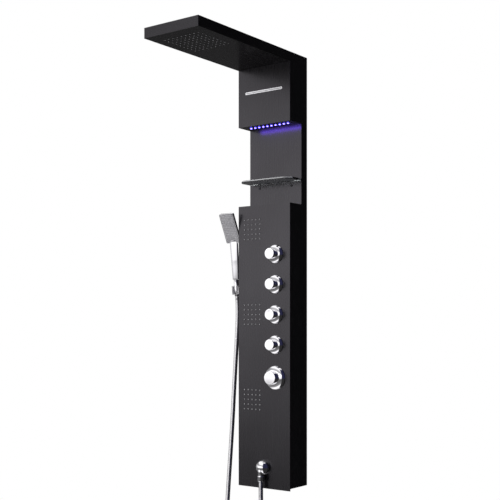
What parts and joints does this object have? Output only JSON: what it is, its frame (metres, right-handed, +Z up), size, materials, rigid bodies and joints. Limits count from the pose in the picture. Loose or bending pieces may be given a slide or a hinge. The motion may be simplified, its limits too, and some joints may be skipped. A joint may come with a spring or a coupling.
{
  "type": "power shower",
  "caption": "Wall-hung shower panel: slim rain arm, waterfall slot, lit niche with a glass shelf, body jets, control knobs, handset on a metal hose.",
  "frame": {"origin": "on the wall plane, at the centre of the rectangle of the four wall screws", "axes": "+X to the right as the user sees it, +Y into the wall (the panel faces -Y), +Z up"},
  "size_m": [0.258, 0.52, 1.722],
  "materials": {
    "casing_black": "satin black on brushed stainless sheet",
    "plate_black": "black brushed stainless front plates, satin",
    "zinc_steel": "plain galvanised steel, hidden behind the casing",
    "glass": "clear tempered glass, polished edges",
    "silicone_dark": "soft silicone nozzles and mats",
    "silicone_clear": "translucent gasket strips",
    "abs_black": "moulded plastic water chambers and holder",
    "chrome": "polished chrome",
    "brass": "machined brass body and nuts",
    "ceramic_plastic": "valve cartridge shells",
    "lens": "milky lens of each light",
    "board": "coated circuit board",
    "steel_pipe": "thin corrugation-free water pipes",
    "screw_steel": "stainless screws",
    "hose_metal": "interlocked chromed metal spiral hose",
    "nozzle_grey": "grey nozzle face of the handset",
    "turbine_white": "turbine generator housing"
  },
  "bodies": {
    "root": {"arm_casing": "casing_black", "body_jet_feed_pipe": "steel_pipe", "bottom_cover": "casing_black", "cartridge_nuts": "brass", "glass_shelf": "glass", "handset_feed_pipe": "steel_pipe", "handset_holder": "chrome", "hanger_rails": "zinc_steel", "holder_screws": "screw_steel", "hose_nut": "chrome", "hose_tube": "hose_metal", "jet_chambers": "abs_black", "jet_link_pipes": "steel_pipe", "jet_nozzle_mats": "silicone_dark", "led_board": "board", "led_holder": "abs_black", "led_lenses": "lens", "lower_front_plate": "plate_black", "mixer_cartridge": "ceramic_plastic", "mixer_escutcheon": "chrome", "niche_panel": "plate_black", "outlet_elbow": "chrome", "outlet_locknut": "brass", "rain_chamber": "abs_black", "rain_feed_pipe_lower": "steel_pipe", "rain_feed_pipe_upper": "steel_pipe", "rain_nozzle_mat": "silicone_dark", "rain_plate": "plate_black", "shelf_carrier": "zinc_steel", "shelf_gasket": "silicone_clear", "shelf_screws": "screw_steel", "side_panel_left": "casing_black", "side_panel_right": "casing_black", "supply_pipes": "steel_pipe", "supply_unions": "brass", "turbine_cap": "turbine_white", "turbine_housing": "turbine_white", "upper_front_plate": "plate_black", "valve_cartridges": "ceramic_plastic", "valve_escutcheons": "chrome", "valve_manifold": "brass", "wall_brackets": "zinc_steel", "waterfall_chamber": "abs_black", "waterfall_feed_pipe": "steel_pipe", "waterfall_lip": "chrome"},
    "waterfall_valve": {"waterfall_knob": "chrome", "waterfall_spindle": "brass"},
    "rain_valve": {"rain_knob": "chrome", "rain_spindle": "brass"},
    "body_jet_valve": {"body_jet_knob": "chrome", "body_jet_spindle": "brass"},
    "handset_valve": {"handset_knob": "chrome", "handset_spindle": "brass"},
    "mixer_valve": {"mixer_knob": "chrome", "mixer_spindle": "brass"},
    "handset": {"handset_body": "chrome", "handset_face": "nozzle_grey", "hose_cone": "chrome"},
    "mode_selector": {"mode_button": "nozzle_grey"},
    "turbine": {"turbine_rotor": "turbine_white"}
  },
  "joints": [
    {"name": "waterfall_turn", "type": "hinge", "parent": "root", "child": "waterfall_valve", "pos_m": [0.044, -0.11, 0.0767], "axis": [0, 1, 0], "range_deg": [0, 90]},
    {"name": "rain_turn", "type": "hinge", "parent": "root", "child": "rain_valve", "pos_m": [0.044, -0.11, -0.0165], "axis": [0, 1, 0], "range_deg": [0, 90]},
    {"name": "body_jet_turn", "type": "hinge", "parent": "root", "child": "body_jet_valve", "pos_m": [0.044, -0.11, -0.1097], "axis": [0, 1, 0], "range_deg": [0, 90]},
    {"name": "handset_turn", "type": "hinge", "parent": "root", "child": "handset_valve", "pos_m": [0.044, -0.11, -0.2029], "axis": [0, 1, 0], "range_deg": [0, 90]},
    {"name": "mixer_turn", "type": "hinge", "parent": "root", "child": "mixer_valve", "pos_m": [0.044, -0.11, -0.3048], "axis": [0, 1, 0], "range_deg": [-90, 90]},
    {"name": "handset_lift", "type": "slide", "parent": "root", "child": "handset", "axis": [0, -0.1044, 0.9945], "range_m": [0, 0.15]},
    {"name": "mode_press", "type": "slide", "parent": "handset", "child": "mode_selector", "axis": [0, 0.91, 0.4147], "range_m": [0, 0.002], "stiffness_N_per_m": 600},
    {"name": "turbine_spin", "type": "hinge", "parent": "root", "child": "turbine", "pos_m": [0.08, -0.022, 0.545], "axis": [0, 1, 0], "continuous": true}
  ]
}
